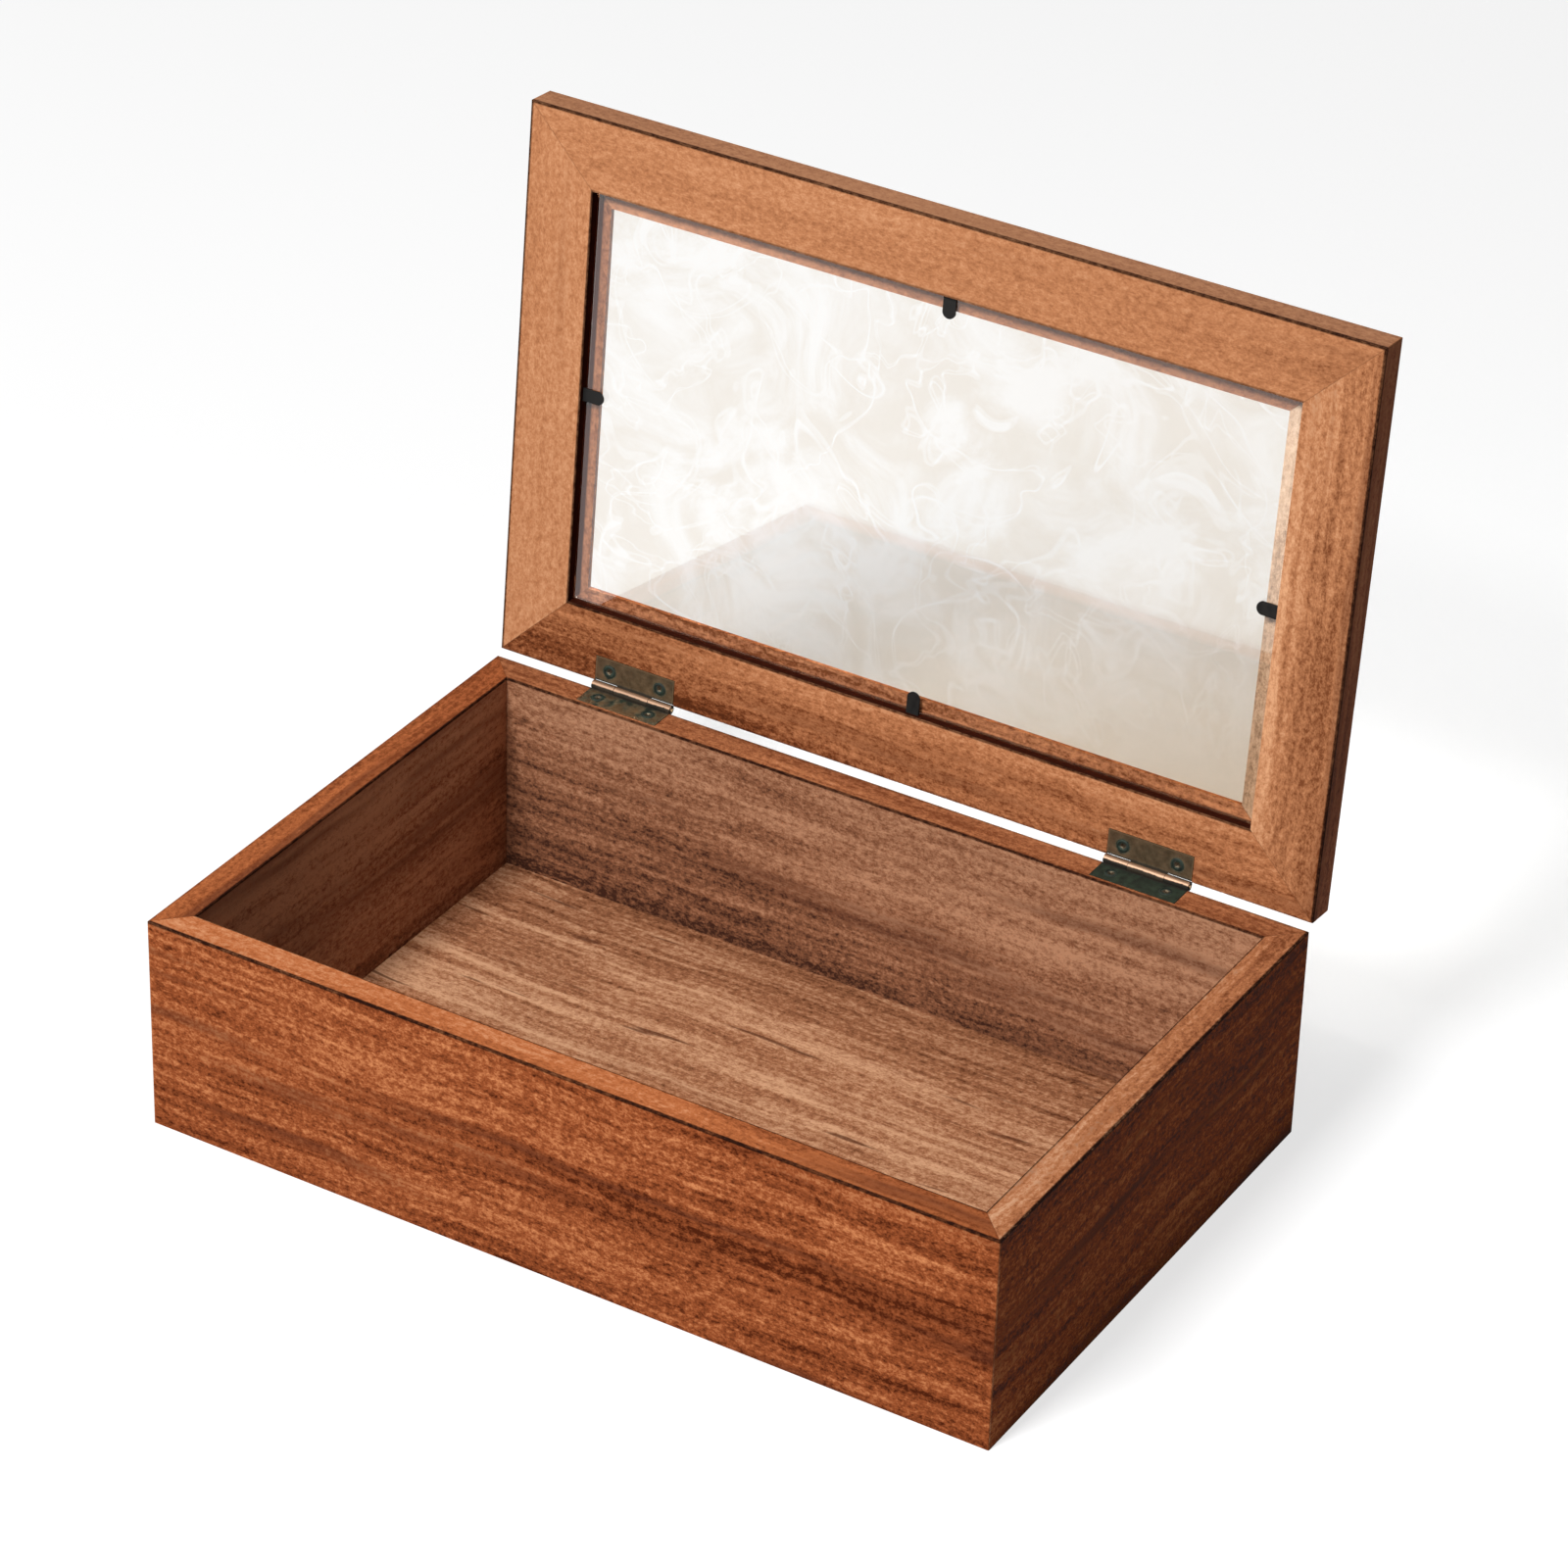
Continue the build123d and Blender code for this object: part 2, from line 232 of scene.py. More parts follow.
def start_group(name, inputs, outputs):
    """An empty node group with named sockets."""
    group = bpy.data.node_groups.new(name, "ShaderNodeTree")
    for label, value in inputs.items():
        kind = "NodeSocketFloat" if isinstance(value, float) else "NodeSocketVector"
        group.interface.new_socket(label, in_out="INPUT", socket_type=kind).default_value = value
    for label in outputs:
        group.interface.new_socket(label, in_out="OUTPUT", socket_type="NodeSocketFloat")
    return group, group.nodes.new("NodeGroupInput").outputs


def end_group(group, results):
    """Wire the group's results to its output sockets."""
    fill_inputs(group, group.nodes.new("NodeGroupOutput"), results)
    print("group", group.name, "with", len(group.nodes), "nodes")


def use_group(tree, group, inputs):
    """Place a group in a material with its own values."""
    made = add(tree, "Group", node_tree=group)
    fill_inputs(tree, made, inputs)
    return made.outputs


def start_material(name):
    """A new material, its tree and the inputs of its shader."""
    material = bpy.data.materials.new(name)
    material.use_nodes = True
    tree = material.node_tree
    return material, tree, tree.nodes["Principled BSDF"].inputs


def feed(tree, shader, shade, roughness, relief, depth):
    """Link a finish's colour, roughness and raised detail to its shader."""
    tree.links.new(shade, shader["Base Color"])
    tree.links.new(roughness, shader["Roughness"])
    bump = add(tree, "Bump", {"Height": relief, "Strength": BUMP_STRENGTH, "Distance": depth})
    tree.links.new(bump.outputs[0], shader["Normal"])


def dress(material, *names):
    """Put one material on CAD nodes."""
    for name in names:
        nodes[name].data.materials.clear()
        nodes[name].data.materials.append(material)
    print(material.name, "on", ", ".join(names))


# %% [markdown]
# ## Floor, background and light
# A studio shot of a small box stands on a pale sweep under one big soft lamp. The camera, and what it
# sees in glass and metal, gets a white floor and background, while the box itself is lit by a plain level
# of light and by little bounce, which keeps the sides that face away from the lamp dark.

# %% Background
FILL_LEVEL = 0.10
WHITE = colour(1.0, 1.0, 1.0)


def seen_directly(tree):
    """One for rays that the camera, a mirror or glass sends out, zero for bounced light."""
    path = add(tree, "LightPath").outputs
    mirrored = larger(tree, path["Is Glossy Ray"], path["Is Transmission Ray"])
    return larger(tree, path["Is Camera Ray"], mirrored)


world = bpy.data.worlds.new("studio")
bpy.context.scene.world = world
world.use_nodes = True
backdrop = world.node_tree
level = fade(backdrop, seen_directly(backdrop), 0.0, 1.0, FILL_LEVEL, 1.0)
backdrop.links.new(level, backdrop.nodes["Background"].inputs["Strength"])
backdrop.nodes["Background"].inputs["Color"].default_value = WHITE
print("white background, fill", FILL_LEVEL)

# %% Floor
FLOOR_WIDTH = 8
FLOOR_GREY = colour(0.32, 0.32, 0.32)
FLOOR_GLOW = 0.72
bpy.ops.mesh.primitive_plane_add(size=FLOOR_WIDTH)
floor = bpy.context.object
floor.name = "studio_floor"
floor_paint, tree, paint = start_material("floor_paint")
paint["Base Color"].default_value = FLOOR_GREY
paint["Roughness"].default_value = 0.9
paint["Specular IOR Level"].default_value = 0.0
paint["Emission Color"].default_value = WHITE
tree.links.new(times(tree, seen_directly(tree), FLOOR_GLOW), paint["Emission Strength"])
floor.data.materials.append(floor_paint)
print("floor", floor.dimensions.x, "m wide")

# %% Key lamp
KEY_FROM = Vector((-0.10, -0.62, 0.74)).normalized()
KEY_DISTANCE = 2.2
KEY_SIZE = 0.5
KEY_WATTS = 62
bpy.ops.object.light_add(type="AREA", location=KEY_FROM * KEY_DISTANCE)
key = bpy.context.object
key.rotation_euler = KEY_FROM.to_track_quat("Z", "Y").to_euler()
key.data.size = KEY_SIZE
key.data.energy = KEY_WATTS
bpy.context.scene.view_settings.view_transform = "Standard"
print("key lamp", KEY_WATTS, "W from", [round(value, 2) for value in key.location])

# %% [markdown]
# ## Wood grain
# The boards are a reddish hardwood with an open, flecked grain: broad bands run along each board, thin dark
# lines and streaks break through them, and the whole surface is peppered by short flecks and pores. An
# image would repeat and stretch, so the grain is made of noises stretched along X, read in each board's
# own place. The shares say how strongly each kind of mark shows on a board.

# %% Grain group
SHARES = {"Bands": 0.5, "Lines": 0.9, "Flecks": 1.7, "Streaks": 0.5, "Marks": 0.0}
WANDER_CELLS = 16.0
WANDER_WIDTH = (0.0, 0.007, 0.007)
RAGGED = 0.3
STREAKS_FROM = (0.56, 0.74)
MARKS_FROM = (0.665, 0.765)
PORES_FROM = (0.56, 0.72)
grain_group, given = start_group(
    "board_grain",
    {"Vector": (0.0, 0.0, 0.0), **SHARES},
    ["Tone", "Streak", "Pore"],
)
tree = grain_group
wander_inputs = {"Vector": given["Vector"], "Scale": WANDER_CELLS, "Detail": 2.0}
wander = add(tree, "TexNoise", wander_inputs).outputs["Color"]
wander = vector_sum(tree, "SUBTRACT", wander, (0.5, 0.5, 0.5))
wander = vector_sum(tree, "MULTIPLY", wander, WANDER_WIDTH)
along = vector_sum(tree, "ADD", given["Vector"], wander)
flecks = noise(tree, along, (430, 640, 640), detail=2.0, roughness=0.95)
layers = [
    (noise(tree, along, (2.4, 22, 22), detail=1.0), given["Bands"]),
    (noise(tree, along, (4.5, 75, 75), detail=3.0, roughness=0.55), given["Bands"]),
    (noise(tree, along, (7, 520, 520), detail=3.0, roughness=0.6), given["Lines"]),
    (noise(tree, along, (14, 220, 220), detail=2.0, roughness=0.6), given["Lines"]),
    (flecks, given["Flecks"]),
]
tone = 0.5
for layer, share in layers:
    tone = sum_of(tree, "MULTIPLY_ADD", about_middle(tree, layer), share, tone)
ragged = noise(tree, along, (6, 120, 120))
ragged = sum_of(tree, "MULTIPLY_ADD", about_middle(tree, flecks), RAGGED, ragged)
streak = times(tree, fade(tree, ragged, *STREAKS_FROM), given["Streaks"])
marks = fade(tree, noise(tree, along, (26, 330, 330), detail=1.0), *MARKS_FROM)
streak = larger(tree, streak, times(tree, marks, given["Marks"]))
pores = fade(tree, noise(tree, along, (120, 2400, 2400), detail=1.0), *PORES_FROM)
end_group(tree, {"Tone": tone, "Streak": streak, "Pore": pores})

# %% [markdown]
# ## Edges, mitres and faces
# Thin dark lines run along the rim and the lid's face, and the upright corners get a paler line, a painted
# highlight where their edges catch the lamp. A hair line shows where two boards meet in a mitre. All of
# these follow from how far a point lies from the faces of the box: on an edge, two of the three distances
# are nearly zero. The same sums tell the rim, the sides and the well apart, and find the rebate's step for
# its painted shade. Each effect is soft between two distances, which are named here first.

# %% Edge group
ARRIS_LINE = (0.4 * MM, 1.0 * MM)
CORNER_LINE = (0.2 * MM, 0.7 * MM)
MITRE_LINE = (0.08 * MM, 0.3 * MM)
SKIN = (0.2 * MM, 0.6 * MM)
WELL_START = (-0.4 * MM, -0.2 * MM)
REBATE_END = (LID_REBATE + 0.3 * MM, LID_REBATE + 0.6 * MM)
LEDGE_SHADE_FADE = 0.8 * MM
LEDGE_SHADE_REACH = 1.3 * MM
edge_group, given = start_group(
    "box_edges",
    {
        "Vector": (0.0, 0.0, 0.0),
        "Outer": (half_width, half_depth, rim),
        "Rim Width": wall,
        "Outer Line": 1.0,
        "Inner Line": 1.0,
        "Ledge Shade Reach": LEDGE_SHADE_REACH,
    },
    ["Arris", "Corner", "Mitre", "Inside", "Top", "Step", "Across"],
)
tree = edge_group
place = split(tree, given["Vector"])
outer = split(tree, given["Outer"])
from_side = sum_of(tree, "SUBTRACT", outer[0], sum_of(tree, "ABSOLUTE", place[0]))
from_front = sum_of(tree, "SUBTRACT", outer[1], sum_of(tree, "ABSOLUTE", place[1]))
from_top = sum_of(tree, "SUBTRACT", outer[2], place[2])
nearer = sum_of(tree, "MINIMUM", from_side, from_front)
farther = larger(tree, from_side, from_front)
past_rim = sum_of(tree, "SUBTRACT", nearer, given["Rim Width"])
off_outer = larger(tree, nearer, from_top)
outer_line = times(tree, fade_out(tree, off_outer, *ARRIS_LINE), given["Outer Line"])
off_inner = larger(tree, sum_of(tree, "ABSOLUTE", past_rim), from_top)
inner_line = times(tree, fade_out(tree, off_inner, *ARRIS_LINE), given["Inner Line"])
across_mitre = sum_of(tree, "ABSOLUTE", sum_of(tree, "SUBTRACT", from_side, from_front))
inside = times(tree, fade(tree, past_rim, *WELL_START), fade(tree, from_top, *SKIN))
ledge_shade_start = sum_of(tree, "SUBTRACT", given["Ledge Shade Reach"], LEDGE_SHADE_FADE)
shaded_step = times(tree, inside, fade_out(tree, past_rim, ledge_shade_start, given["Ledge Shade Reach"]))
masks = {
    "Arris": larger(tree, outer_line, inner_line),
    "Corner": fade_out(tree, farther, *CORNER_LINE),
    "Mitre": fade_out(tree, across_mitre, *MITRE_LINE),
    "Inside": inside,
    "Top": fade_out(tree, from_top, *SKIN),
    "Step": times(tree, shaded_step, fade_out(tree, from_top, *REBATE_END)),
    "Across": about_middle(tree, sum_of(tree, "DIVIDE", nearer, given["Rim Width"])),
}
end_group(tree, masks)

# %% [markdown]
# ## Stained boards
# Each wall and each lid member is its own board, cut with the grain along its length. The stain is deep
# outside, brighter on the planed rim and the lid's inner face, and thinner and greyer in the well, whose
# walls get painted shade that darkens them downwards and most of all near the bottom. The lid's outer face
# and its sight edge, which every hand touches, have a bolder figure than its inner face. Painted shade lays
# a nearly black line along the rebate's step, and a painted highlight makes the ledge along the right stile
# pale. A tone runs over three or four colours, from the darkest mark to the lightest fleck. Boards that took
# the stain drier or deeper have tones of their own, and the right wall, in shade, has a redder copy of the
# stain, painted for that shaded side.

# %% Stain tones
def tones(dark, middle, light):
    """The three stops of a tone."""
    return [(0.0, colour(*dark)), (0.5, colour(*middle)), (1.0, colour(*light))]


STAINED = tones((0.075, 0.014, 0.004), (0.32, 0.082, 0.026), (0.66, 0.25, 0.10))
# A redder copy of the stain for the right wall, which faces away from the lamp: colour painted for its
# shade.
SHADED_SIDE_STAIN = tones((0.075, 0.012, 0.003), (0.33, 0.072, 0.020), (0.66, 0.23, 0.085))
RIM = tones((0.17, 0.042, 0.013), (0.43, 0.130, 0.044), (0.64, 0.30, 0.15))
DRY_RIM = tones((0.17, 0.050, 0.019), (0.40, 0.152, 0.064), (0.60, 0.33, 0.19))
INNER = tones((0.050, 0.0190, 0.0118), (0.245, 0.101, 0.051), (0.47, 0.240, 0.136))
LID_TONES = tones((0.18, 0.055, 0.020), (0.455, 0.188, 0.083), (0.70, 0.36, 0.19))
DEEP_TONES = [
    (0.0, colour(0.085, 0.023, 0.008)),
    (0.25, colour(0.18, 0.052, 0.018)),
    (0.75, colour(0.455, 0.178, 0.075)),
    (1.0, colour(0.58, 0.265, 0.128)),
]
LID_EDGE = tones((0.12, 0.037, 0.014), (0.39, 0.175, 0.089), (0.58, 0.29, 0.15))
RED_EDGE = tones((0.13, 0.031, 0.012), (0.43, 0.145, 0.072), (0.62, 0.26, 0.13))
# Painted highlight: the pale ledge of the right stile, where light catches it.
PAINTED_LIGHT_LEDGE = tones((0.17, 0.105, 0.066), (0.44, 0.305, 0.210), (0.61, 0.46, 0.34))
LID_OUTSIDE = tones((0.095, 0.023, 0.008), (0.37, 0.125, 0.048), (0.66, 0.30, 0.14))
# Painted shade: the nearly black line along the rebate's step.
PAINTED_STEP_SHADE = colour(0.028, 0.0055, 0.0025)
DARK_LINE = colour(0.016, 0.005, 0.003)
STREAK = colour(0.070, 0.020, 0.012)
print("middle tones:", STAINED[1][1][:3], "outside,", LID_TONES[1][1][:3], "on the lid")

# %% Kinds of board
BODY = {
    "lid": False,
    "outer": (half_width, half_depth, rim),
    "width": wall,
    "side": STAINED,
    "top": RIM,
    "inside": INNER,
    "calm": 0.75,
    # Painted shade in the well: darker downwards, and most of all near the bottom.
    "shade_downwards": 0.15,
    "shade_at_bottom": 0.20,
}
LID = {
    "lid": True,
    "outer": (half_width, half_depth, LID_THICKNESS),
    "width": LID_FACE,
    "side": LID_EDGE,
    "top": LID_TONES,
    "inside": LID_EDGE,
    "calm": 1.0,
    "shade_downwards": 0.0,
    "shade_at_bottom": 0.0,
}
DRY_BODY = {**BODY, "top": DRY_RIM}
SHADED_SIDE_BODY = {**DRY_BODY, "side": SHADED_SIDE_STAIN}
DEEP_LID = {**LID, "top": DEEP_TONES}
RED_LID = {**LID, "side": RED_EDGE, "inside": PAINTED_LIGHT_LEDGE}
print("rim", round(BODY["width"] / MM, 2), "mm wide, lid face", round(LID["width"] / MM, 2), "mm wide")

# %% [markdown]
# ## Finish of one board
# One function builds the finish and is called for every board with that board's turn and a shift of its
# own, so no two boards show the same figure. A short list says what sets a board apart from its kind. Lift
# and drift lighten it all over, or towards one end. Rim, slope and across do that for its upper face alone:
# all over, along it, and towards its inner edge. Well does it for the side that looks into the well or the
# rebate. Line and inner are the shares of the dark line along the outer and the inner edge, and the last
# value is how far the painted shade of the rebate's step reaches on to the ledge. Below zero, none does.

# %% Places on a board
def lid_place(tree):
    """A point of the open lid as if the lid lay on its back, with its inner face up."""
    shut = Matrix.Rotation(LID_ANGLE, 3, "X")
    flip = Matrix.Rotation(math.pi, 3, "X")
    moved = flip @ (pin - shut @ pin - Vector((0, 0, lid_outside)))
    turned = {"Vector": here(tree), "Location": moved, "Rotation": (LID_ANGLE - math.pi, 0, 0)}
    return add(tree, "Mapping", turned).outputs[0]


def along_grain(tree, place, turn, shift):
    """A place turned so that the grain runs along X, and moved to a fresh stretch of it."""
    angles = [math.radians(angle) for angle in turn]
    return add(tree, "Mapping", {"Vector": place, "Location": shift, "Rotation": angles}).outputs[0]


# %% Tones on a board
SHADE_AT_BOTTOM_HEIGHT = 11 * MM
LIP_FADE = (LIP - 0.6 * MM, LIP - 0.3 * MM)
FLAT = {
    "lift": 0.0,
    "drift": (0, 0, 0),
    "rim": 0.0,
    "slope": (0, 0, 0),
    "across": 0.0,
    "well": 0.0,
    "line": 1.0,
    "inner": 1.0,
    "ledge_shade": LEDGE_SHADE_REACH,
}


def upper_tone(tree, place, tone, across, kind, own):
    """The tone of the rim, or of the lid's inner face, with its own slopes."""
    middle = 0.5 - 0.5 * kind["calm"] + own["rim"]
    calm = sum_of(tree, "MULTIPLY_ADD", tone, kind["calm"], middle)
    leaning = sum_of(tree, "MULTIPLY_ADD", across, own["across"], calm)
    return sum_of(tree, "ADD", leaning, reach(tree, place, own["slope"]))


def inner_tone(tree, height, tone, kind, own):
    """The tone of the side that looks into the well, with painted shade that darkens it downwards and most
    of all near the bottom.
    """
    shade_downwards = fade(tree, height, 0.0, rim, own["well"] - kind["shade_downwards"], own["well"] + kind["shade_downwards"])
    shade_at_bottom = fade(tree, height, floor_top, floor_top + SHADE_AT_BOTTOM_HEIGHT, -kind["shade_at_bottom"], 0.0)
    return sum_of(tree, "ADD", tone, sum_of(tree, "ADD", shade_downwards, shade_at_bottom))


def outer_face(tree, height, inside):
    """One on the lid's outer face and on its sight edge under the rebate, zero elsewhere."""
    sight_edge = times(tree, inside, fade_out(tree, height, *LIP_FADE))
    return larger(tree, fade_out(tree, height, *SKIN), sight_edge)


# %% Board finish
CORNER_HIGHLIGHT = 0.6
MITRE_SHARE = 0.3
PORE_DEPTH = -0.6
LINE_WEIGHT = (1.0, 0.75)
BOARD_ROUGHNESS = (0.48, 0.66)
WOOD_RELIEF = 0.15 * MM


def stained_board(name, kind, turn, shift, own, **shares):
    """The finish of one board: its figure, its faces' tones, and the dark lines of its edges."""
    material, tree, shader = start_material("stained_" + name)
    own = {**FLAT, **own}
    place = lid_place(tree) if kind["lid"] else here(tree)
    height = split(tree, place)[2]
    grain = along_grain(tree, place, (0, 0, turn), shift)
    figure = use_group(tree, grain_group, {"Vector": grain, **shares})
    sizes = {"Outer": kind["outer"], "Rim Width": kind["width"], "Ledge Shade Reach": own["ledge_shade"]}
    lines = {"Outer Line": own["line"], "Inner Line": own["inner"]}
    edges = use_group(tree, edge_group, {"Vector": place, **sizes, **lines})
    drift = sum_of(tree, "ADD", reach(tree, place, own["drift"]), own["lift"])
    tone = sum_of(tree, "ADD", figure["Tone"], drift)
    top_shade = tone_ramp(tree, upper_tone(tree, place, tone, edges["Across"], kind, own), kind["top"])
    well_shade = tone_ramp(tree, inner_tone(tree, height, tone, kind, own), kind["inside"])
    shade = tone_ramp(tree, tone, kind["side"])
    # Painted highlight: the upright corners take the rim's lighter tone.
    shade = blend(tree, times(tree, edges["Corner"], CORNER_HIGHLIGHT), shade, top_shade)
    shade = blend(tree, edges["Top"], shade, top_shade)
    shade = blend(tree, edges["Inside"], shade, well_shade)
    if kind["lid"]:
        bold = use_group(tree, grain_group, {"Vector": grain})["Tone"]
        touched = outer_face(tree, height, edges["Inside"])
        shade = blend(tree, touched, shade, tone_ramp(tree, bold, LID_OUTSIDE))
    shade = blend(tree, figure["Streak"], shade, STREAK)
    # Painted shade along the rebate's step on the lid.
    if kind["lid"]:
        shade = blend(tree, edges["Step"], shade, PAINTED_STEP_SHADE)
    shade = blend(tree, times(tree, edges["Mitre"], MITRE_SHARE), shade, DARK_LINE)
    line = times(tree, edges["Arris"], fade(tree, tone, 0.2, 0.9, *LINE_WEIGHT))
    shade = blend(tree, line, shade, DARK_LINE)
    relief = sum_of(tree, "MULTIPLY_ADD", figure["Pore"], PORE_DEPTH, tone)
    feed(tree, shader, shade, fade(tree, tone, 0.1, 0.9, *BOARD_ROUGHNESS), relief, WOOD_RELIEF)
    shader["Specular IOR Level"].default_value = 0.01
    dress(material, name)


# %% Boards of the body
ALONG_FRONT = 0
ALONG_SIDE = 90
stained_board(
    "front_wall", BODY, ALONG_FRONT, (0.31, 0.12, 0.07),
    {"lift": -0.085, "drift": (-0.5, 0, 0.3), "rim": -0.08, "slope": (-1.5, 0, 0)},
)
stained_board(
    "back_wall", DRY_BODY, ALONG_FRONT, (1.27, 0.33, 0.61),
    {"lift": 0.05, "drift": (1.1, 0, 0), "rim": -0.325, "slope": (-1.2, 0, 0), "line": 0.3},
    Bands=0.28, Streaks=0.4,
)
# The left wall's inner face stands in shade; its raised well tone is painted light for bounce.
stained_board(
    "left_wall", BODY, ALONG_SIDE, (2.14, 0.71, 0.27),
    {"drift": (0, -0.6, 0), "rim": -0.30, "well": 0.30, "line": 0.2},
)
# The right wall stands in shade and takes the redder copy of the stain painted for that shade.
stained_board(
    "right_wall", SHADED_SIDE_BODY, ALONG_SIDE, (3.55, 0.92, 0.43),
    {"lift": -0.04, "rim": 0.05, "slope": (0, -1.2, 0)},
    Bands=0.8, Lines=1.0, Flecks=2.1, Streaks=0.8,
)

# %% Boards of the lid
PALE = {"Bands": 0.45, "Lines": 0.2, "Flecks": 1.05, "Streaks": 0.1}
DEEP = {"Bands": 0.6, "Lines": 0.75, "Flecks": 1.45, "Streaks": 0.3}
NO_LEDGE_SHADE = -0.5 * MM
# On the lid, a negative well darkens the ledge as painted shade, and on the left stile the step's painted
# shade reaches further on to the ledge.
stained_board(
    "lid_front_rail", LID, ALONG_FRONT, (4.36, 1.17, 0.75),
    {"lift": -0.03, "drift": (-0.3, 0, 0), "across": 0.12, "well": -0.15, "inner": 0.6, "ledge_shade": NO_LEDGE_SHADE},
    **PALE,
)
stained_board(
    "lid_left_stile", LID, ALONG_SIDE, (6.42, 1.86, 1.12),
    {"across": 0.13, "well": -0.3, "ledge_shade": 2.6 * MM},
    **PALE,
)
stained_board(
    "lid_back_rail", DEEP_LID, ALONG_FRONT, (5.08, 1.53, 0.98),
    {"lift": 0.05, "drift": (0.2, 0, 0), "across": 0.38, "well": -0.25, "line": 0.2},
    **DEEP,
)
# The right stile's ledge is painted pale as a highlight.
stained_board(
    "lid_right_stile", RED_LID, ALONG_SIDE, (7.71, 2.05, 1.36),
    {"lift": -0.03, "drift": (0, 1.0, 0), "across": 0.62, "well": 0.05, "inner": 0.0, "ledge_shade": NO_LEDGE_SHADE},
    **DEEP,
)

# %% [markdown]
# ## Bottom panel
# The bottom is a thin panel of paler, drier wood with the same grain running the long way. It is let in
# under the walls, so only its top shows, with a few short dark marks in the grain. Its tone is painted
# lighter towards the front and darker along the back wall, as light and shade falling in the well.

# %% Bottom panel
PANEL = tones((0.075, 0.023, 0.009), (0.288, 0.118, 0.056), (0.54, 0.30, 0.17))
PANEL_MARK = colour(0.085, 0.027, 0.013)
PANEL_SHARES = {"Bands": 0.4, "Lines": 1.05, "Flecks": 1.5, "Streaks": 0.1, "Marks": 0.8}
PANEL_LIGHT_TO_SHADE = (0.21, -0.13)
PANEL_ROUGHNESS = (0.6, 0.75)
material, tree, shader = start_material("dry_panel")
place = here(tree)
grain = along_grain(tree, place, (0, 0, ALONG_FRONT), (8.3, 2.4, 1.7))
figure = use_group(tree, grain_group, {"Vector": grain, **PANEL_SHARES})
# Painted light and shade: lighter towards the front, darker along the back wall.
panel_light_to_shade = fade(tree, split(tree, place)[1], 0.0, half_depth, *PANEL_LIGHT_TO_SHADE)
tone = sum_of(tree, "ADD", figure["Tone"], panel_light_to_shade)
shade = blend(tree, figure["Streak"], tone_ramp(tree, tone, PANEL), PANEL_MARK)
roughness = fade(tree, figure["Tone"], 0.1, 0.9, *PANEL_ROUGHNESS)
feed(tree, shader, shade, roughness, figure["Tone"], WOOD_RELIEF)
shader["Specular IOR Level"].default_value = 0.015
dress(material, "floor_panel")

# %% [markdown]
# ## Keys of the mitres
# Loose tongues hold the corners of the body and biscuits those of the lid. They are hidden in the joints
# and never stained, so they get the same grain in pale, bare beech. A biscuit is pressed with its grain
# running askew, which keeps it from splitting, and a tongue has it running up the corner.

# %% Keys
BEECH = tones((0.38, 0.235, 0.135), (0.56, 0.385, 0.245), (0.70, 0.53, 0.37))
KEY_ROUGHNESS = (0.6, 0.75)
KEY_RELIEF = 0.1 * MM
CORNERS = ("front_left", "front_right", "back_left", "back_right")
for key_kind, turn in (("tongue", (0, 90, 0)), ("biscuit", (0, 0, 45))):
    material, tree, shader = start_material("beech_" + key_kind)
    place = lid_place(tree) if key_kind == "biscuit" else here(tree)
    grain = along_grain(tree, place, turn, (9.4, 3.1, 2.2))
    figure = use_group(tree, grain_group, {"Vector": grain, "Lines": 1.0, "Flecks": 1.0, "Streaks": 0.0})
    shade = tone_ramp(tree, figure["Tone"], BEECH)
    roughness = fade(tree, figure["Pore"], 0.0, 1.0, *KEY_ROUGHNESS)
    feed(tree, shader, shade, roughness, figure["Pore"], KEY_RELIEF)
    dress(material, *[corner + "_" + key_kind for corner in CORNERS])

# %% [markdown]
# ## Tools for modelling by hand
# The next pieces are modelled as they would be with the mouse: add a primitive, open it in edit mode,
# select some of its faces or edges, and extrude, inset or bevel them. A script has no mouse, so what to
# select is told by a test on each edge or face, such as which way it looks. A finished piece is moved
# into place, the move is applied to its mesh, and it rides on the box or the lid in its CAD node's stead.

# %% Modelling helpers
def solo(piece):
    """Select one object and nothing else."""
    bpy.ops.object.select_all(action="DESELECT")
    piece.select_set(True)
    bpy.context.view_layer.objects.active = piece


def open_piece(name):
    """Name the primitive just added, and open it for editing."""
    piece = bpy.context.object
    piece.name = name
    piece.data.name = name
    bpy.ops.object.transform_apply(location=True, rotation=True, scale=True)
    bpy.ops.object.mode_set(mode="EDIT")
    return piece


def pick(piece, kind, test):
    """Select the edges or faces of the open mesh that pass a test."""
    bpy.ops.mesh.select_mode(type=kind)
    bpy.ops.mesh.select_all(action="DESELECT")
    mesh = bmesh.from_edit_mesh(piece.data)
    parts = mesh.edges if kind == "EDGE" else mesh.faces
    chosen = [part for part in parts if test(part)]
    for part in chosen:
        part.select_set(True)
    bmesh.update_edit_mesh(piece.data)
    return len(chosen)


def close_piece(angle):
    """Leave edit mode with the faces outwards and the shading soft over small angles."""
    bpy.ops.mesh.select_all(action="SELECT")
    bpy.ops.mesh.normals_make_consistent(inside=False)
    bpy.ops.object.mode_set(mode="OBJECT")
    bpy.ops.object.shade_smooth_by_angle(angle=math.radians(angle))


def put(piece, place, body, node):
    """Move a piece into place, apply the move, and let it stand for a CAD node on its body."""
    bpy.context.view_layer.update()
    piece.matrix_world = place @ piece.matrix_world
    solo(piece)
    bpy.ops.object.transform_apply(location=True, rotation=True, scale=True)
    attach(piece, body)
    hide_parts(node)
    print(piece.name, "for", node, "with", len(piece.data.polygons), "faces")


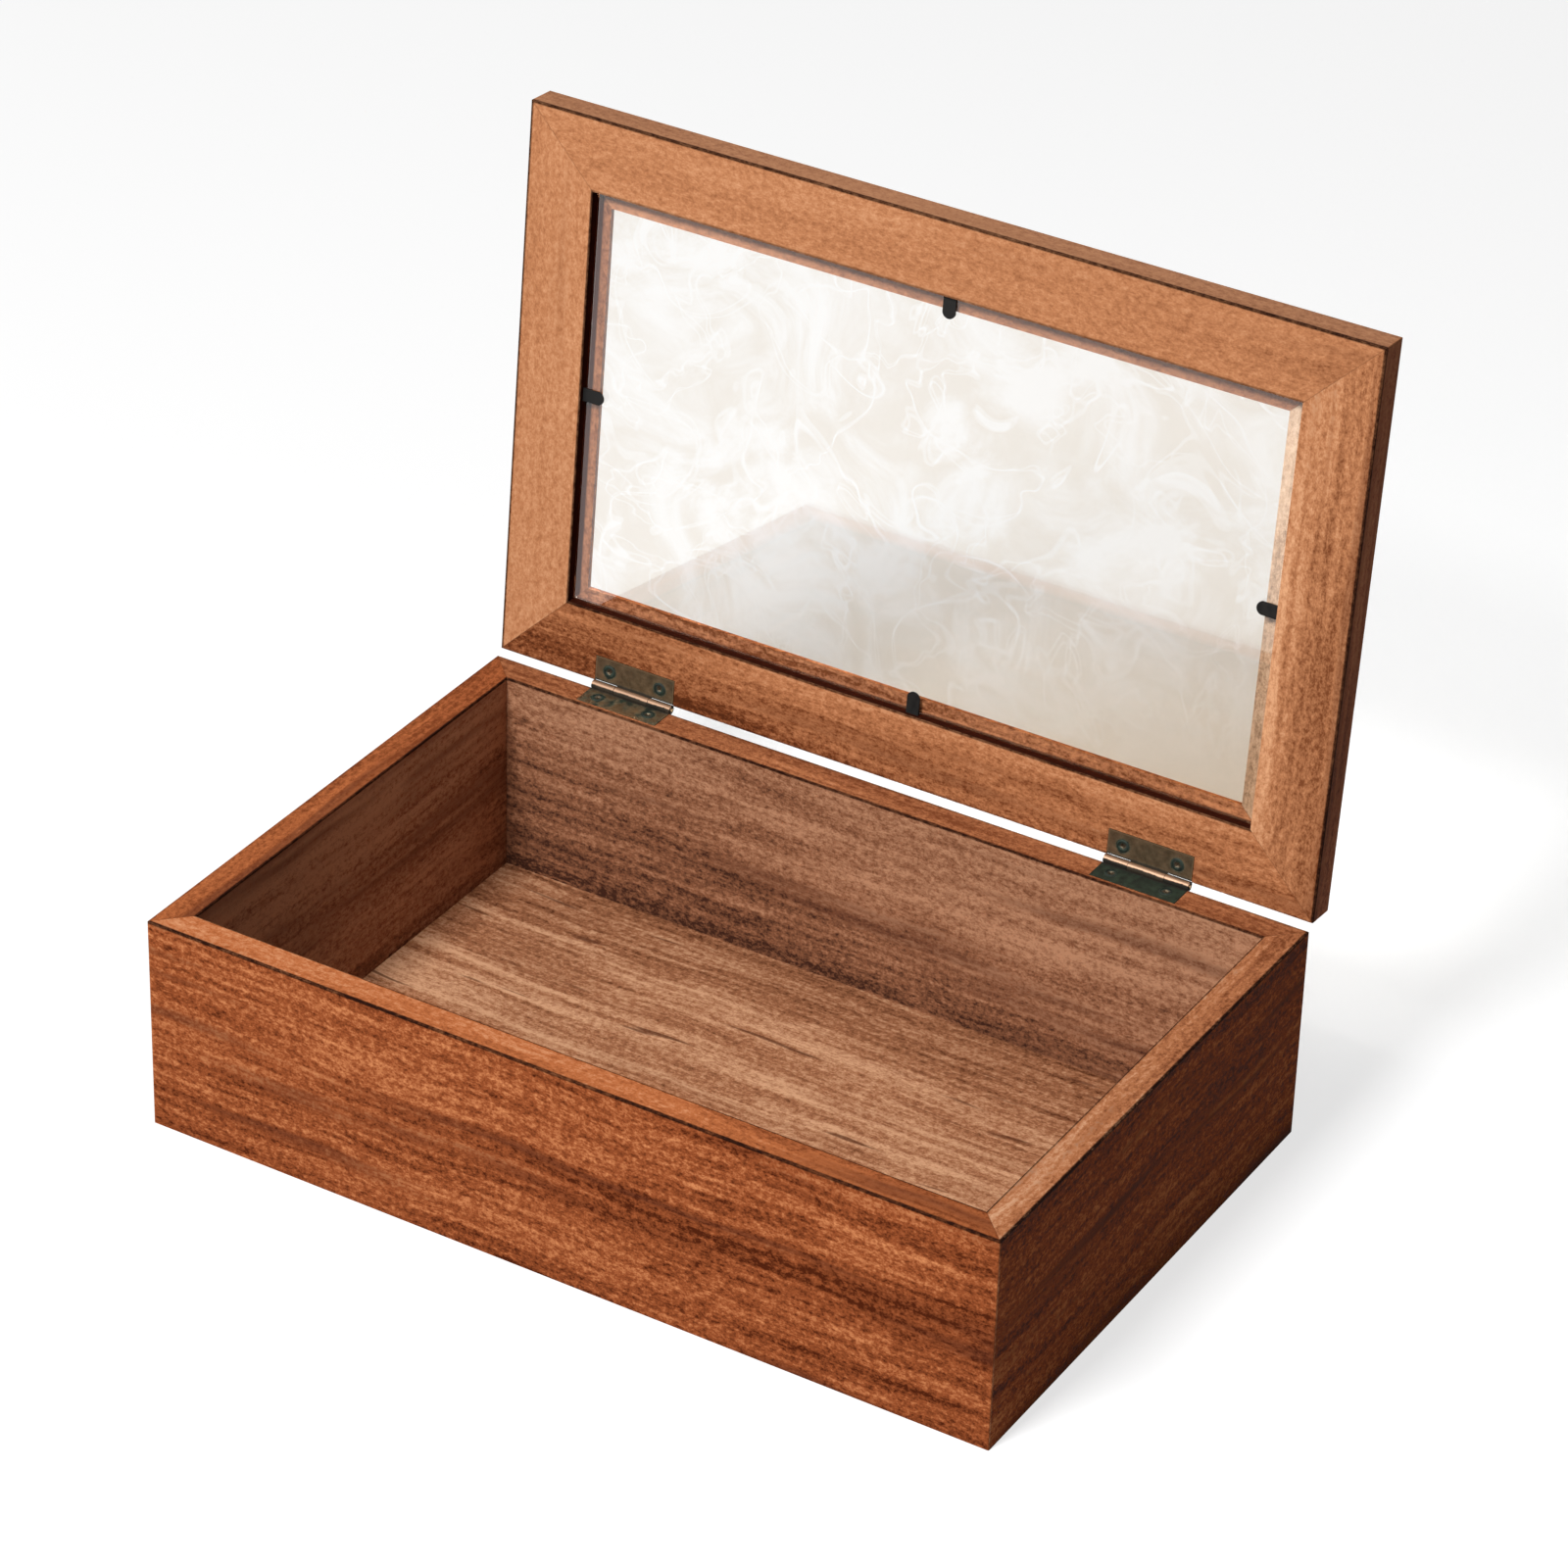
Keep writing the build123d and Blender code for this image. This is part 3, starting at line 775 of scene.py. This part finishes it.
# %% [markdown]
# ## Glass pane
# The pane is cut from 2 mm sheet, its sharp corners are nipped off, and its edges are rubbed down so that
# they don't cut. A plain cube has none of that, so a cube of the pane's size is laid shut, its four
# upright edges are bevelled first, then the rims of both faces, and it is swung open about the pins. The
# shading stays flat, because soft normals on the wide faces would bend what is seen through them.

# %% Glass pane
NIPPED = 0.8 * MM
RUBBED_DOWN = 0.3 * MM


def rise(edge):
    """How far an edge climbs from one end to the other."""
    return abs(edge.verts[0].co.z - edge.verts[1].co.z)


to_shut = Matrix.Translation(pin) @ Matrix.Rotation(LID_ANGLE, 4, "X") @ Matrix.Translation(-pin)
laid = [to_shut @ vertex.co for vertex in nodes["glass_pane"].data.vertices]
pane_low = Vector([min(corner[axis] for corner in laid) for axis in range(3)])
pane_high = Vector([max(corner[axis] for corner in laid) for axis in range(3)])
bpy.ops.object.select_all(action="DESELECT")
bpy.ops.mesh.primitive_cube_add(size=1, location=(pane_low + pane_high) / 2)
bpy.ops.transform.resize(value=pane_high - pane_low)
pane = open_piece("cut_pane")
pick(pane, "EDGE", lambda edge: rise(edge) > 0.1 * MM)
bpy.ops.mesh.bevel(offset=NIPPED, segments=2)
rims = pick(pane, "EDGE", lambda edge: rise(edge) < 0.1 * MM)
bpy.ops.mesh.bevel(offset=RUBBED_DOWN, segments=2)
close_piece(5)
print("pane", [round(size / MM, 2) for size in pane.dimensions], "mm,", rims, "rim edges rubbed down")

# %% [markdown]
# ## Clear glass
# The glass is clear with a faint cream veil in clouds, crossed by thin clear trails where a cloth has wiped
# it. Clouds come straight from a noise, and a trail is where another noise passes through its middle value.
# A brownish haze of painted shade thickens towards the hinges and the right, darkening the pane there.
# The pane mirrors the well quite strongly, so a thin coat adds to its own reflection. Lamp light has to
# reach the wood behind, so shadow rays nearly all pass and the pane stays glass for everything else.

# %% Clear glass
CLEAR = colour(0.990, 0.980, 0.960)
VEILED = colour(0.890, 0.840, 0.770)
PAINTED_SHADE_TINT = colour(0.600, 0.500, 0.390)
CLOUDS_FROM = (0.36, 0.62)
TRAIL = (0.004, 0.014)
TO_HINGES = (1.2, -3.2, 0)
LOW_SHADE_SPAN = (-0.01, 0.35)
RIGHT_SHADE_SPAN = (-0.05, 0.16, 0.0, 0.24)
VEIL_ROUGHNESS = (0.0, 0.01)
LIGHT_PASSED = 0.92
material, tree, shader = start_material("wiped_glass")
place = here(tree)
veil = fade(tree, noise(tree, place, even(30), 5.0, 0.62, swirl=1.2), *CLOUDS_FROM)
for count, swirl in ((20, 1.6), (34, 0.9)):
    wiped = about_middle(tree, noise(tree, place, even(count), swirl=swirl))
    veil = times(tree, veil, fade(tree, sum_of(tree, "ABSOLUTE", wiped), *TRAIL))
on_lid = lid_place(tree)
# Painted shade: the pane is tinted darker and browner towards the hinges and the right.
low_painted_shade = fade(tree, reach(tree, on_lid, TO_HINGES), *LOW_SHADE_SPAN)
right_painted_shade = fade(tree, split(tree, on_lid)[0], *RIGHT_SHADE_SPAN)
tint = blend(tree, veil, CLEAR, VEILED)
tint = blend(tree, larger(tree, low_painted_shade, right_painted_shade), tint, PAINTED_SHADE_TINT)
tree.links.new(tint, shader["Base Color"])
tree.links.new(fade(tree, veil, 0.0, 1.0, *VEIL_ROUGHNESS), shader["Roughness"])
shadow_ray = add(tree, "LightPath").outputs["Is Shadow Ray"]
tree.links.new(sum_of(tree, "MULTIPLY_ADD", shadow_ray, -LIGHT_PASSED, 1.0), shader["Alpha"])
shader["Transmission Weight"].default_value = 1.0
shader["IOR"].default_value = 1.5
shader["Coat Weight"].default_value = 0.6
shader["Coat IOR"].default_value = 1.7
pane.data.materials.append(material)
put(pane, to_shut.inverted(), "lid", "glass_pane")

# %% [markdown]
# ## Aged brass, with painted shade and highlight on the knuckles
# The hinges are stamped from brass strip that has turned to a dull olive bronze. The rolled knuckles and the
# creases beside them are painted nearly black as shade, and only their crown, on the side that faces the
# lamp, gets a painted highlight. Dark verdigris creeps out from under the screw heads. Each of these follows
# from a distance, to the pin, to the strip's edge or to the nearer screw, and the crown from the way a point
# looks out from the pin. A noise moves each limit to and fro, so that none of them runs straight.

# %% Patina group
# The crown way faces the lamp, and the knuckle's painted highlight lies along it.
CROWN_WAY = Vector((0.0, -0.5, 0.866))
RING = (2.0 * MM, 3.0 * MM)
EDGE_RUB = (0.1 * MM, 0.5 * MM)
ROLL = (0.02 * MM, 0.10 * MM)
PAINTED_KNUCKLE_SHADE_REACH = (0.4 * MM, 1.1 * MM)
GREEN_FROM = (0.70, 0.92)
CROWN_FROM = (0.80, 0.93)
RING_SWAY = 1.8 * MM
RUB_SWAY = 0.8 * MM
PAINTED_KNUCKLE_SHADE_SWAY = 0.6 * MM
CROWN_SWAY = 0.25


def distance(tree, first, second):
    """The length of a line with these two legs."""
    squares = sum_of(tree, "MULTIPLY_ADD", first, first, times(tree, second, second))
    return sum_of(tree, "SQRT", squares)


brass_patina_and_light_group, given = start_group(
    "brass_patina_and_painted_light",
    {
        "Vector": (0.0, 0.0, 0.0),
        "Screw": (screw_step, screw_reach, 0.0),
        "Leaf": (leaf_half, leaf_span, knuckle),
        "Crown": CROWN_WAY,
        "Green": 0.2,
    },
    ["Crown", "Painted Knuckle Shade", "Verdigris", "Rub", "Mottle"],
)
tree = brass_patina_and_light_group
place = split(tree, given["Vector"])
screw_place = split(tree, given["Screw"])
leaf = split(tree, given["Leaf"])
mottle = noise(tree, given["Vector"], even(420), 4.0, 0.6)
uneven = about_middle(tree, mottle)
sideways = sum_of(tree, "ABSOLUTE", place[0])
outwards = sum_of(tree, "ABSOLUTE", place[1])
screw_side = sum_of(tree, "SUBTRACT", sideways, screw_place[0])
screw_out = sum_of(tree, "SUBTRACT", outwards, screw_place[1])
to_screw = distance(tree, screw_side, screw_out)
ring = fade_out(tree, sum_of(tree, "MULTIPLY_ADD", uneven, RING_SWAY, to_screw), *RING)
clouds = noise(tree, given["Vector"], even(170), 3.0, 0.6)
patches = fade(tree, sum_of(tree, "ADD", clouds, given["Green"]), *GREEN_FROM)
end_left = sum_of(tree, "SUBTRACT", leaf[0], sideways)
span_left = sum_of(tree, "SUBTRACT", leaf[1], outwards)
to_edge = sum_of(tree, "MINIMUM", end_left, span_left)
rub = fade_out(tree, sum_of(tree, "MULTIPLY_ADD", uneven, RUB_SWAY, to_edge), *EDGE_RUB)
from_pin = distance(tree, place[1], place[2])
off_roll = sum_of(tree, "SUBTRACT", from_pin, leaf[2])
upright = sum_of(tree, "DIVIDE", reach(tree, given["Vector"], given["Crown"]), from_pin)
upright = sum_of(tree, "MULTIPLY_ADD", uneven, CROWN_SWAY, upright)
# Painted highlight along the crown of the roll.
crown = times(tree, fade_out(tree, off_roll, *ROLL), fade(tree, upright, *CROWN_FROM))
# Painted shade over the roll and the crease beside it.
painted_knuckle_shade = fade_out(tree, sum_of(tree, "MULTIPLY_ADD", uneven, PAINTED_KNUCKLE_SHADE_SWAY, off_roll), *PAINTED_KNUCKLE_SHADE_REACH)
corroded = larger(tree, ring, patches)
end_group(tree, {"Crown": crown, "Painted Knuckle Shade": painted_knuckle_shade, "Verdigris": corroded, "Rub": rub, "Mottle": mottle})

# %% Hinge leaves
BRONZE = [
    (0.25, colour(0.100, 0.074, 0.043)),
    (0.5, colour(0.195, 0.140, 0.082)),
    (0.75, colour(0.29, 0.210, 0.125)),
]
RUBBED = colour(0.36, 0.26, 0.150)
VERDIGRIS = [(0.35, colour(0.003, 0.006, 0.004)), (0.65, colour(0.012, 0.026, 0.016))]
PAINTED_KNUCKLE_SHADE = colour(0.014, 0.011, 0.008)
PAINTED_KNUCKLE_HIGHLIGHT = colour(0.29, 0.180, 0.118)
RUB_SHARE = 0.6
GREEN_SHARE = 0.97
PAINTED_KNUCKLE_SHADE_SHARE = 0.9
LEAF_ROUGHNESS = (0.5, 0.75)
LEAF_RELIEF = 0.08 * MM


def leaf_patina_and_painted_light(side, body, green):
    """The finish of one leaf, measured from the middle of its pin."""
    material, tree, shader = start_material("patina_and_painted_light_" + side + "_" + body + "_leaf")
    turn = LID_ANGLE - math.pi if body == "lid" else 0.0
    turned = Matrix.Rotation(turn, 3, "X")
    middle = turned @ Vector((hinge_middles[side], pin.y, pin.z))
    moved = {"Vector": here(tree), "Location": -middle, "Rotation": (turn, 0, 0)}
    place = add(tree, "Mapping", moved).outputs[0]
    patina_and_light = use_group(tree, brass_patina_and_light_group, {"Vector": place, "Green": green, "Crown": turned @ CROWN_WAY})
    shade = tone_ramp(tree, patina_and_light["Mottle"], BRONZE)
    shade = blend(tree, times(tree, patina_and_light["Rub"], RUB_SHARE), shade, RUBBED)
    corroded = tone_ramp(tree, patina_and_light["Mottle"], VERDIGRIS)
    shade = blend(tree, times(tree, patina_and_light["Verdigris"], GREEN_SHARE), shade, corroded)
    # Painted shade darkens the knuckle and its crease, and a painted highlight lights its crown.
    shade = blend(tree, times(tree, patina_and_light["Painted Knuckle Shade"], PAINTED_KNUCKLE_SHADE_SHARE), shade, PAINTED_KNUCKLE_SHADE)
    shade = blend(tree, patina_and_light["Crown"], shade, PAINTED_KNUCKLE_HIGHLIGHT)
    dull = larger(tree, patina_and_light["Verdigris"], patina_and_light["Painted Knuckle Shade"])
    dull = times(tree, dull, sum_of(tree, "SUBTRACT", 1.0, patina_and_light["Crown"]))
    roughness = fade(tree, dull, 0.0, 1.0, *LEAF_ROUGHNESS)
    feed(tree, shader, shade, roughness, patina_and_light["Mottle"], LEAF_RELIEF)
    tree.links.new(fade_out(tree, dull, 0.0, 1.0), shader["Metallic"])
    shader["Specular IOR Level"].default_value = 0.2
    dress(material, side + "_hinge_" + body + "_leaf")


leaf_patina_and_painted_light("left", "box", 0.30)
leaf_patina_and_painted_light("left", "lid", 0.08)
leaf_patina_and_painted_light("right", "box", 0.60)
leaf_patina_and_painted_light("right", "lid", 0.08)

# %% [markdown]
# ## Hinge pins
# The pins are brass wire, drawn through a die that leaves fine marks along them. They run inside the
# knuckles, out of reach of hands and weather, so they have kept more of their colour. The marks are a noise
# stretched along X, the way the pins lie.

# %% Hinge pins
WIRE = [(0.3, colour(0.22, 0.13, 0.06)), (0.7, colour(0.55, 0.36, 0.18))]
WIRE_ROUGHNESS = (0.5, 0.32)
WIRE_RELIEF = 0.05 * MM
material, tree, shader = start_material("drawn_brass_wire")
drawn = noise(tree, here(tree), (150, 2600, 2600))
shade = tone_ramp(tree, drawn, WIRE)
feed(tree, shader, shade, fade(tree, drawn, 0.3, 0.7, *WIRE_ROUGHNESS), drawn, WIRE_RELIEF)
shader["Metallic"].default_value = 1.0
dress(material, "left_hinge_pin", "right_hinge_pin")

# %% [markdown]
# ## Hinge screws
# Two small countersunk screws hold each leaf. Their heads can be seen well in the picture, so a drawn cone
# is too plain: the rim of a real head is eased by tumbling, and its cross recess narrows towards its floor.
# One screw is modelled from a thin disc, the land of its head, which is extruded down into cone, shank and
# point. Its rim is bevelled. The two insets then take in the upper ring of that bevel together with the
# flat top, and add two thin rings of faces round the head.

# %% One screw
SHANK = 1.8 * MM
POINT = 1.4 * MM
LAND = 0.15 * MM
CONE = 0.75 * MM
TIP_SHARE = 0.04
EASED = 0.1 * MM
INSET = 0.5 * MM


def looks_down(face):
    """True for a face that looks down, or nearly so."""
    return face.normal.z < -0.9


def looks_up(face):
    """True for a face that looks up, or nearly so."""
    return face.normal.z > 0.9


def pull_down(length):
    """Extrude what is selected downwards."""
    bpy.ops.mesh.extrude_region_move(TRANSFORM_OT_translate={"value": (0, 0, -length)})


bpy.ops.object.select_all(action="DESELECT")
bpy.ops.mesh.primitive_cylinder_add(vertices=40, radius=head / 2, depth=LAND, location=(0, 0, -LAND / 2))
screw = open_piece("hinge_screw")
pick(screw, "FACE", looks_down)
pull_down(CONE)
bpy.ops.transform.resize(value=(SHANK / head, SHANK / head, 1))
pull_down(screw_length - LAND - CONE - POINT)
pull_down(POINT)
bpy.ops.transform.resize(value=(TIP_SHARE, TIP_SHARE, 1))
pick(screw, "EDGE", lambda edge: all(end.co.z > -0.01 * MM for end in edge.verts))
bpy.ops.mesh.bevel(offset=EASED, segments=2)
pick(screw, "FACE", looks_up)
bpy.ops.mesh.inset(thickness=INSET)
bpy.ops.mesh.inset(thickness=INSET)
close_piece(40)
print("screw", [round(size / MM, 2) for size in screw.dimensions], "mm")

# %% [markdown]
# ## Cross recess
# A driver's recess is punched by a tapered cross. Two bars, each narrowed at its lower end and set at right
# angles to the other, are taken away from the head by Boolean modifiers. The distance of each point from
# the screw's axis is then kept on the mesh, for the finish that follows.

# %% Cross recess
BAR = (2.4 * MM, 0.5 * MM, 1.1 * MM)
BAR_TAPER = (0.5, 0.6, 1)
for turn in (0, 90):
    bpy.ops.object.select_all(action="DESELECT")
    bpy.ops.mesh.primitive_cube_add(size=1)
    bpy.ops.transform.resize(value=BAR)
    bar = open_piece("recess_bar")
    pick(bar, "FACE", looks_down)
    bpy.ops.transform.resize(value=BAR_TAPER)
    close_piece(30)
    bar.rotation_euler.z = math.radians(turn)
    solo(screw)
    cut = screw.modifiers.new("recess", "BOOLEAN")
    cut.operation = "DIFFERENCE"
    cut.object = bar
    bpy.ops.object.modifier_apply(modifier=cut.name)
    bpy.data.objects.remove(bar)
from_axis = screw.data.attributes.new("from_axis", "FLOAT", "POINT")
for vertex in screw.data.vertices:
    from_axis.data[vertex.index].value = vertex.co.xy.length
print("recess cut,", len(screw.data.polygons), "faces")

# %% [markdown]
# ## Green screw heads
# The heads have gone the dark green of the patches round them, and only their middle is still bronze. How
# far a point lies from the screw's axis was kept on the mesh as an attribute before copying, so one
# material finds the middle of every head wherever the copy sits.

# %% Green screw heads
BRONZE_MIDDLE = (0.6 * MM, 1.3 * MM)
MIDDLE_SWAY = 1.4 * MM
HEAD_ROUGHNESS = (0.55, 0.7)
HEAD_METALLIC = (0.9, 0.2)
HEAD_RELIEF = 0.06 * MM
MIDDLE_TONES = [(0.3, colour(0.08, 0.062, 0.040)), (0.7, colour(0.19, 0.14, 0.09))]
material, tree, shader = start_material("green_screw_brass")
radius = add(tree, "Attribute", attribute_name="from_axis").outputs["Fac"]
mottle = noise(tree, here(tree), even(700), 3.0, 0.6)
uneven = sum_of(tree, "MULTIPLY_ADD", about_middle(tree, mottle), MIDDLE_SWAY, radius)
green = fade(tree, uneven, *BRONZE_MIDDLE)
shade = blend(tree, green, tone_ramp(tree, mottle, MIDDLE_TONES), tone_ramp(tree, mottle, VERDIGRIS))
feed(tree, shader, shade, fade(tree, green, 0.0, 1.0, *HEAD_ROUGHNESS), mottle, HEAD_RELIEF)
tree.links.new(fade(tree, green, 0.0, 1.0, *HEAD_METALLIC), shader["Metallic"])
screw.data.materials.append(material)
print(material.name, "with", len(tree.nodes), "nodes")

# %% [markdown]
# ## Screws driven home
# Eight copies of the screw are set into the leaves, each with its own mesh and with its recess stopped at
# another angle, as screws are when they are driven by hand. The two screws of a leaf are joined to one
# piece. On the lid, a pair is placed as on the box, and then turned over and swung open about the pin.

# %% Screws driven home
recess_angles = iter((20, 64, 47, 8, 73, 31, 55, 12))
for side, middle_x in hinge_middles.items():
    for body in ("box", "lid"):
        about_pin = Matrix.Translation((middle_x, pin.y, pin.z))
        if body == "lid":
            about_pin = about_pin @ Matrix.Rotation(-LID_ANGLE, 4, "X") @ Matrix.Rotation(math.pi, 4, "Y")
        pair = []
        for sign in (-1, 1):
            seat = Matrix.Translation((sign * screw_step, -screw_reach, screws_high.z - pin.z))
            twist = Matrix.Rotation(math.radians(next(recess_angles)), 4, "Z")
            twin = screw.copy()
            twin.data = screw.data.copy()
            twin.matrix_world = about_pin @ seat @ twist
            bpy.context.collection.objects.link(twin)
            pair.append(twin)
        solo(pair[0])
        pair[1].select_set(True)
        bpy.ops.object.join()
        pair[0].name = side + "_" + body + "_screw_pair"
        put(pair[0], Matrix.Identity(4), body, side + "_hinge_" + body + "_screws")
bpy.data.objects.remove(screw)

# %% [markdown]
# ## Glazing points
# The four tabs that hold the pane are stamped steel, dipped in black lacquer. The lacquer is matt and a
# little uneven, and a noise in its roughness keeps the tabs from looking like holes in the picture.

# %% Glazing points
LACQUER = [(0.3, colour(0.004, 0.004, 0.004)), (0.75, colour(0.014, 0.013, 0.012))]
LACQUER_ROUGHNESS = (0.5, 0.75)
LACQUER_RELIEF = 0.08 * MM
material, tree, shader = start_material("black_lacquer")
dip = noise(tree, here(tree), even(600), 3.0, 0.6)
shade = tone_ramp(tree, dip, LACQUER)
feed(tree, shader, shade, fade(tree, dip, 0.3, 0.7, *LACQUER_ROUGHNESS), dip, LACQUER_RELIEF)
shader["Specular IOR Level"].default_value = 0.2
dress(material, *[side + "_glazing_point" for side in ("front", "back", "left", "right")])

# %% [markdown]
# ## Brads
# Flat-wire brads hold the bottom panel, and only their heads show on the underside. They are bright steel
# with fine draw marks along the wire, darkened here and there where they have begun to tarnish.

# %% Brads
STEEL = [(0.3, colour(0.36, 0.36, 0.37)), (0.7, colour(0.58, 0.58, 0.58))]
TARNISH = colour(0.17, 0.12, 0.09)
TARNISH_FROM = (0.5, 0.7)
STEEL_ROUGHNESS = (0.32, 0.6)
material, tree, shader = start_material("bright_wire")
place = here(tree)
drawn = noise(tree, place, (2200, 2200, 260))
tarnish = fade(tree, noise(tree, place, even(340), 3.0, 0.6), *TARNISH_FROM)
shade = blend(tree, tarnish, tone_ramp(tree, drawn, STEEL), TARNISH)
feed(tree, shader, shade, fade(tree, tarnish, 0.0, 1.0, *STEEL_ROUGHNESS), drawn, WIRE_RELIEF)
shader["Metallic"].default_value = 1.0
dress(material, "floor_brads")
